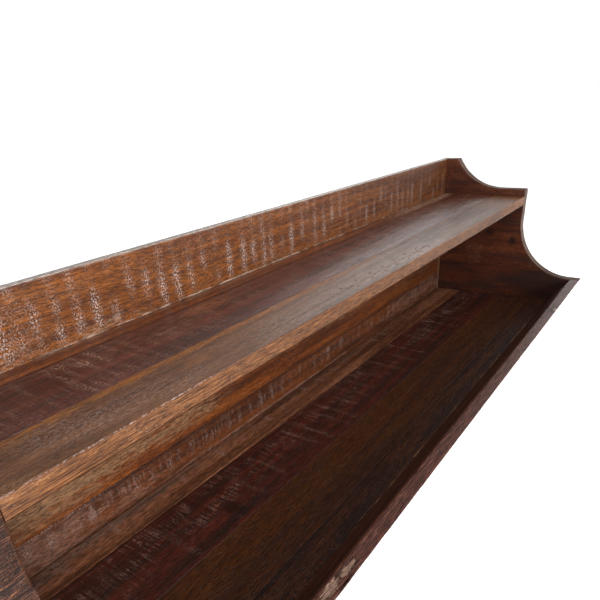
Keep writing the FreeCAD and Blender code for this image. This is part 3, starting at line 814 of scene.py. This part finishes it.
front_board_marks = {
    "saw_and_highlights": most(saw_rows([(place, 0.35 * strength) for place, strength in even_rows(20, LENGTH, 37, 19)], 3.0,
                         20, low=HIDDEN, high=HIDDEN + 200),
                ovals((955, 308.5, 8, 4.5, 1.0))),
    "film_and_sheen": ovals((197, 301.6, 9, 3.4, 1.0), (168, 301.2, 12, 3.8, 1.0), (955, 308.5, 8, 4.5, 1.0)),
    "stain_and_shade": most(ovals((187, 308.2, 13, 1.6, 0.8)),
                  around(ovals((952, 308, 17, 8.5, 0.9)), ovals((955, 309.5, 10, 5.5, 1.3)))),
    "edge": beyond(292.8),  # the whole top, whose across is a depth
}
end_marks = {
    "saw_and_highlights": saw_rows([(80, 0.9), (87, 0.7), (94, 0.8), (66, 0.5), (73, 0.5), (210, 0.4), (222, 0.5)], 2.4, 22,
                    low=84, high=138, fade=12),
    "film_and_sheen": ovals((200, 180, 40, 10, 0.3)),
    "stain_and_shade": ovals((163, 145, 7, 9, 0.95), (110, 160, 11, 5, 0.9), (145, 166, 40, 1.1, 0.6),
                   (140, 86, 160, 1.1, 0.6), (230, 60, 70, 30, 0.4)),
}

# The boards

# Cut in the wall side of the back: countersinks for the screws' heads, beds for the hanger plates and, in a
# second cut, the pockets behind their keyholes. A pit and two small cracks are cut in the front side.
SCREW_SPACING = 255.0
SCREW_HEAD = [(0, 1), (4.05, 1), (4.05, -0.55), (1.9, -2.7), (0, -2.7)]
HANGER_X = 450.0
BED_HALF_WIDTH, BED_DEPTH, BED_FOOT, BED_TOP = 10.2, 2.0, 249.8, 300.2
POCKET_HALF_WIDTH, POCKET_DEPTH, POCKET_FOOT, POCKET_TOP = 6, 9.0, 260, 290
wall_cutters, second_cutters = {}, {}
for part, z in (("bottom", THICKNESS / 2), ("top", SHELF_TOP - THICKNESS / 2)):
    wall_cutters[part] = bmesh.new()
    for i in range(-2, 3):
        turned_hole(wall_cutters[part], SCREW_HEAD, (i * SCREW_SPACING, WALL_Y, z), (0, 1, 0))
second_cutters["top"] = bmesh.new()
for x in (-HANGER_X, HANGER_X):
    block(wall_cutters["top"], (x - BED_HALF_WIDTH, WALL_Y - BED_DEPTH, BED_FOOT),
          (x + BED_HALF_WIDTH, WALL_Y + 1, BED_TOP))
    block(second_cutters["top"], (x - POCKET_HALF_WIDTH, WALL_Y - POCKET_DEPTH, POCKET_FOOT),
          (x + POCKET_HALF_WIDTH, WALL_Y + 2, POCKET_TOP))
gouge(wall_cutters["top"], (189 - INNER_X, BACK_FACE, 268), 2.6, 2.2, 3.0)
gouge(wall_cutters["bottom"], (280 - INNER_X, BACK_FACE, 50), 8, 1.0, 2.5)
gouge(wall_cutters["bottom"], (303 - INNER_X, BACK_FACE, 55), 34, 0.8, 0.7)

# The last entry is the heights where a thin pale line needs lines of its own in the mesh
for part, finish, free, seams, marks, seed, scored in (
        ("top", back_orange, (2, 3), (), back_top_marks, 1, (239.6, 240.6)),
        ("middle", back_brown, (), (3,), back_middle_marks, 2, ()),
        ("bottom", back_red, (), (), back_bottom_marks, 3, (18.6, 19.8, 58.4, 60.2))):
    node = f"back_{part}_board"
    section = box_section(node)
    bm = long_board(section, section, marks, seed, free=free, seams=seams, face="y", scored=scored)
    for cutters in (wall_cutters, second_cutters):
        if part in cutters:
            bm = cut_out(bm, cutters[part])
    finish_piece(f"back_board_{part}", bm, finish, [node])

# Splits and lost fibre along one line of the shelf's front board, wider from 440 mm on, and a loose row of
# others on either side of it
split_line = bmesh.new()
for i in range(34):
    place = 292 + i * 11.9
    size = min(1.0, 0.5 + abs(noise.noise(Vector((i * 0.7, 0.5, 8)))))
    wide = 1.0 if place < 440 else 2.4
    depth = 157.5 + 1.2 * noise.noise(Vector((i / 4, 2, 2)))
    gouge(split_line, (place - INNER_X, at_depth(depth), SHELF_TOP), 8.6 * size, wide * size, 0.9 * size)
for i in range(14):
    place = 446 + i * 18 + 3 * noise.noise(Vector((i * 1.3, 1.5, 4)))
    gouge(split_line, (place - INNER_X, at_depth(164 if i % 2 else 150), SHELF_TOP),
          7.0 + 2 * noise.noise(Vector((i * 0.9, 2.5, 6))), 2.4, 0.8)

LOWER_ARRIS_TOP = SHELF_TOP - THICKNESS + 1.8
for part, finish, free, seams, marks, seed in (("rear", strip_brown, (), (2, 3), shelf_rear_marks, 4),
                                               ("middle", shelf_red, (), (2,), shelf_middle_marks, 5),
                                               ("front", shelf_grey, (0, 3), (), shelf_front_marks, 6)):
    node = f"upper_shelf_{part}_board"
    section = box_section(node)
    bm = long_board(section, section, marks, seed, free=free, seams=seams)
    if part == "front":
        # A dark line along the lower arris is painted shade under the front edge
        for vert in bm.verts:
            if vert.co.y < at_depth(UPPER_DEPTH - 2) and vert.co.z < LOWER_ARRIS_TOP:
                vert[bm.verts.layers.float["stain_and_shade"]] = 1.0
        bm = cut_out(bm, split_line)
    finish_piece(f"upper_shelf_board_{part}", bm, finish, [node])

for i, (part, finish, marks) in enumerate((("rear", tray_rear, tray_rear_marks),
                                           ("red", tray_red, tray_red_marks),
                                           ("brown", tray_brown, tray_brown_marks),
                                           ("front", tray_front, tray_front_marks))):
    ends = []
    for joints in (TRAY_JOINTS_LEFT, TRAY_JOINTS_RIGHT):
        back, front = joints[i], (joints + (TRAY_DEPTH,))[i + 1]
        low_front = front if part != "front" else lip_inner_depth(0)
        ends.append([(at_depth(low_front), 0), (at_depth(back), 0), (at_depth(back), FLOOR_TOP),
                     (at_depth(front), FLOOR_TOP)])
    bm = long_board(ends[0], ends[1], marks, 7 + i, seams=(2,))
    finish_piece(f"tray_board_{part}", bm, finish, [f"tray_floor_{part}_board"])

section = [(at_depth(lip_inner_depth(0) + LEVEL_CUT), 0), (at_depth(lip_inner_depth(0)), 0),
           (at_depth(lip_inner_depth(LIP_TOP)), LIP_TOP), (at_depth(FRONT_DEPTH), LIP_TOP)]
bm = long_board(section, section, front_board_marks, 12, free=(0, 2, 3), free_width=1.2, face="lean",
                depth=1.6)

# Pits over the nails' heads, and a crack and two chips in the top
NAIL_COUNT = 6
NAIL_HEAD_RADIUS = 2.0
NAIL_PIT = [(0, -9), (2.05, -9), (2.05, 0.75), (0, 0.75)]
pits = bmesh.new()
nail_low, nail_high = node_box("front_board_nails")
run = nail_high.x - nail_low.x - 2 * NAIL_HEAD_RADIUS
for i in range(NAIL_COUNT):
    x = nail_low.x + NAIL_HEAD_RADIUS + run * i / (NAIL_COUNT - 1)
    turned_hole(pits, NAIL_PIT, (x, nail_low.y, THICKNESS / 2), (0, 1, 0), steps=16)
gouge(pits, (187 - INNER_X, at_depth(308.2), LIP_TOP), 24, 1.5, 2.2)
bm = cut_out(bm, pits)
for x, depth, length, width in ((198, 301.2, 21, 8.0), (169, 300.8, 31, 9.5)):
    chip = bmesh.new()
    gouge(chip, (x - INNER_X, at_depth(depth), LIP_TOP), length, width, 0.7, uneven=0.8, ragged=2.6,
          subdivisions=4)
    bm = cut_out(bm, chip)

# The cuts' new points have no marks yet: the chips get the pale film, the crack the stain
film_layer, stain_layer = (bm.verts.layers.float[kind] for kind in ("film_and_sheen", "stain_and_shade"))
for vert in bm.verts:
    along, across = vert.co.x + INNER_X, BACK_FACE - vert.co.y
    if 150 < along < 212 and 296 < across < 306.5 and LIP_TOP - 1.2 < vert.co.z < LIP_TOP - 0.03:
        vert[film_layer] = 1.0
    elif 174 < along < 200 and across > 307 and vert.co.z < LIP_TOP - 0.4:
        vert[stain_layer] = 1.0
finish_piece("leaning_front_board", bm, lip_wood, ["front_board"])

# The film on the outline of the right end is a painted sheen, paler than the wood
for end, side, painted_edge_sheen in (("left", -1, 0.0), ("right", 1, 0.75)):
    for level, name in enumerate(("bottom", "lower", "upper", "top")):
        bm = end_board(side, SIDE_JOINTS[level], SIDE_JOINTS[level + 1], end_marks, painted_edge_sheen,
                       20 + level + 5 * side)
        finish_piece(f"{end}_end_board_{name}", bm, end_wood_low if level % 2 == 0 else end_wood,
                     [f"{end}_side_{name}_board"])

for name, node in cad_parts.items():
    if "dowels" in name:
        finish = beech
    elif "nails" in name:
        finish = dull_nail
    elif "screws" in name or "hanger" in name:
        finish = zinc
    else:
        continue
    node.data.materials.clear()
    node.data.materials.append(finish)

# Floor, lights and camera

bpy.ops.mesh.primitive_grid_add(x_subdivisions=4, y_subdivisions=4, size=40)
floor = bpy.context.object
floor.name = "pale_floor"
floor.data.materials.append(pale_floor())

# A bright room all round with a dimmer ceiling
world = bpy.data.worlds.new("studio")
bpy.context.scene.world = world
world.use_nodes = True
sky = world.node_tree
sky.nodes.clear()
direction = add(sky, "ShaderNodeTexCoord", out="Generated")
direction = add(sky, "ShaderNodeSeparateXYZ", {0: direction}, out="Z")
brightness = add(sky, "ShaderNodeMapRange", {0: direction, 1: 0.15, 2: 0.70, 3: 1.0, 4: 0.2},
                 interpolation_type="SMOOTHSTEP")
background = add(sky, "ShaderNodeBackground", {"Color": (1, 1, 1, 1), "Strength": brightness})
add(sky, "ShaderNodeOutputWorld", {"Surface": background})


def soft_light(name, place, target, width, height, watts):
    light = bpy.data.lights.new(name, "AREA")
    light.shape = "RECTANGLE"
    light.size, light.size_y = width, height
    light.energy = watts
    lamp = bpy.data.objects.new(name, light)
    bpy.context.scene.collection.objects.link(lamp)
    lamp.location = place
    lamp.rotation_euler = (Vector(target) - Vector(place)).to_track_quat("-Z", "Y").to_euler()


soft_light("front_left_softbox", (-0.95, -1.35, 0.5), (-0.3, 0, 0.12), 0.7, 0.5, 24)
soft_light("overhead_softbox", (-0.5, -1.1, 1.9), (0.0, 0, 0.15), 1.4, 1.0, 24)
soft_light("rear_right_softbox", (1.75, 1.1, 0.8), (0.1, 0.08, 0.24), 1.0, 0.9, 5)
soft_light("arris_softbox", (0.55, -1.1, 1.8), (-0.45, 0, 0.24), 0.35, 0.35, 5)

# Fitted to the edges of the boards in the photograph
camera_data = bpy.data.cameras.new("photo_camera")
camera_data.sensor_width = 36.0
camera_data.lens = 32.458
camera_data.shift_y = 0.1683
camera = bpy.data.objects.new("photo_camera", camera_data)
bpy.context.scene.collection.objects.link(camera)
right = Vector((0.56788, -0.82147, -0.05200))
down = Vector((-0.42493, -0.23847, -0.87325))
forward = Vector((0.70494, 0.51800, -0.48449))
camera.matrix_world = Matrix.Translation(Vector((-678.67, -330.74, 438.87)) * MM) @ Matrix(
    (right, -down, -forward)).transposed().to_4x4()
bpy.context.scene.camera = camera
bpy.context.scene.view_settings.view_transform = "Standard"
